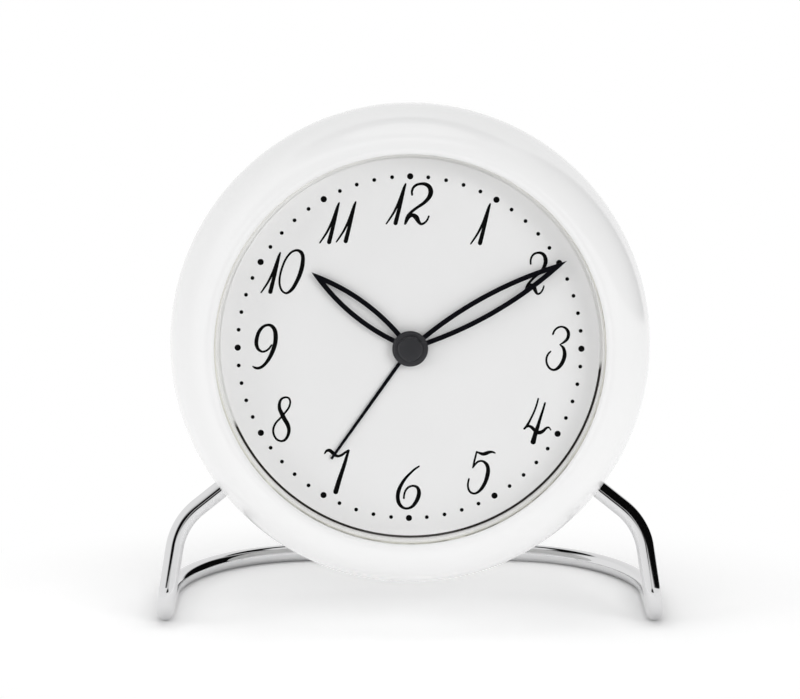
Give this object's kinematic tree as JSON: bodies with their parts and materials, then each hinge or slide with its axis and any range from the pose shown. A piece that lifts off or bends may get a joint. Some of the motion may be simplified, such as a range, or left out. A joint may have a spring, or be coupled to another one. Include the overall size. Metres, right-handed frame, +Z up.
{
  "type": "table clock",
  "caption": "Round alarm clock in a glossy white case, tilted back on a chromed wire stand whose loop lies flat on the table behind it.",
  "frame": {"origin": "on the table, under the middle of the whole clock's box, between the bezel and the rear of the stand's loop", "axes": "+Z up; the dial faces -Y and leans back by six degrees; +X toward three o'clock"},
  "size_m": [0.118, 0.0705, 0.1199],
  "materials": {
    "case": "glossy white, smooth lacquer look",
    "glass": "clear, polished flat window",
    "gasket": "light grey, matte",
    "dial_ring": "pale grey, matte",
    "dial": "matte white with printed black numerals and dots",
    "carrier": "dark brown, matte",
    "stand": "polished chrome plate",
    "hands": "satin black lacquer",
    "hub": "satin black lacquer",
    "movement_plate": "natural, moulded",
    "movement_housing": "black, moulded",
    "screws": "bright zinc plate",
    "brass": "turned brass",
    "wheels": "natural nylon, moulded",
    "magnet": "sintered magnet, dark grey",
    "iron": "punched soft iron",
    "winding": "enamelled copper wire, close wound",
    "board": "green solder mask",
    "chip": "black resin drop",
    "crystal": "drawn tin can",
    "knobs": "white, moulded, fluted",
    "switch": "white, moulded",
    "buzzer": "thin brass disc in a case",
    "back_cover": "white, fine satin grain",
    "battery": "printed sleeve, plain",
    "contacts": "nickel-plated spring strip"
  },
  "bodies": {
    "case": {"case_shell": "case", "glass": "glass", "glass_gasket": "gasket", "dial_ring": "dial_ring", "dial": "dial", "dial_carrier": "carrier", "stand_wire": "stand", "movement_plate": "movement_plate", "movement_housing": "movement_housing", "movement_screws": "screws", "stator": "iron", "coil_core": "iron", "coil": "winding", "circuit_board": "board", "control_chip": "chip", "quartz_crystal": "crystal", "buzzer": "buzzer", "back_cover": "back_cover", "cover_screws": "screws", "battery": "battery", "contact_plus": "contacts", "contact_minus": "contacts"},
    "minute": {"minute_shaft": "brass", "centre_wheel": "wheels", "minute_hand": "hands", "hub_cap": "hub"},
    "hour": {"hour_wheel": "wheels", "hour_hand": "hands"},
    "setting": {"minute_wheel": "wheels", "set_arbor": "brass", "set_knob": "knobs"},
    "third": {"third_wheel": "wheels"},
    "rotor": {"rotor": "magnet"},
    "alarm": {"alarm_wheel": "wheels", "alarm_hand": "hands"},
    "alarm_setting": {"alarm_arbor": "brass", "alarm_knob": "knobs"},
    "switch": {"alarm_switch": "switch"},
    "door": {"battery_door": "back_cover"}
  },
  "joints": [
    {"name": "minute_turn", "type": "hinge", "parent": "case", "child": "minute", "pos_m": [0, -0.02889, 0.06667], "axis": [0, 0.9945, -0.1045], "continuous": true},
    {"name": "hour_turn", "type": "hinge", "parent": "case", "child": "hour", "pos_m": [0, -0.02889, 0.06667], "axis": [0, 0.9945, -0.1045], "continuous": true},
    {"name": "set_knob_turn", "type": "hinge", "parent": "case", "child": "setting", "pos_m": [-0.01039, -0.02826, 0.07263], "axis": [0, 0.9945, -0.1045], "continuous": true},
    {"name": "third_wheel_turn", "type": "hinge", "parent": "case", "child": "third", "pos_m": [0, -0.03002, 0.05593], "axis": [0, 0.9945, -0.1045], "continuous": true},
    {"name": "rotor_turn", "type": "hinge", "parent": "case", "child": "rotor", "pos_m": [-0.01034, -0.03021, 0.05411], "axis": [0, 0.9945, -0.1045], "continuous": true},
    {"name": "alarm_turn", "type": "hinge", "parent": "case", "child": "alarm", "pos_m": [0, -0.02889, 0.06667], "axis": [0, 0.9945, -0.1045], "continuous": true},
    {"name": "alarm_knob_turn", "type": "hinge", "parent": "case", "child": "alarm_setting", "pos_m": [0.01109, -0.02822, 0.07303], "axis": [0, 0.9945, -0.1045], "continuous": true},
    {"name": "switch_slide", "type": "slide", "parent": "case", "child": "switch", "axis": [1, 0, 0], "range_m": [0, 0.004]},
    {"name": "door_pull", "type": "slide", "parent": "case", "child": "door", "axis": [0, 0.9945, -0.1045], "range_m": [0, 0.025]}
  ],
  "couplings": [
    {"joint": "hour_turn", "follows": "minute_turn", "ratio": 0.083333},
    {"joint": "set_knob_turn", "follows": "minute_turn", "ratio": -0.33333},
    {"joint": "third_wheel_turn", "follows": "minute_turn", "ratio": -5},
    {"joint": "rotor_turn", "follows": "minute_turn", "ratio": 30},
    {"joint": "alarm_knob_turn", "follows": "alarm_turn", "ratio": -3}
  ]
}
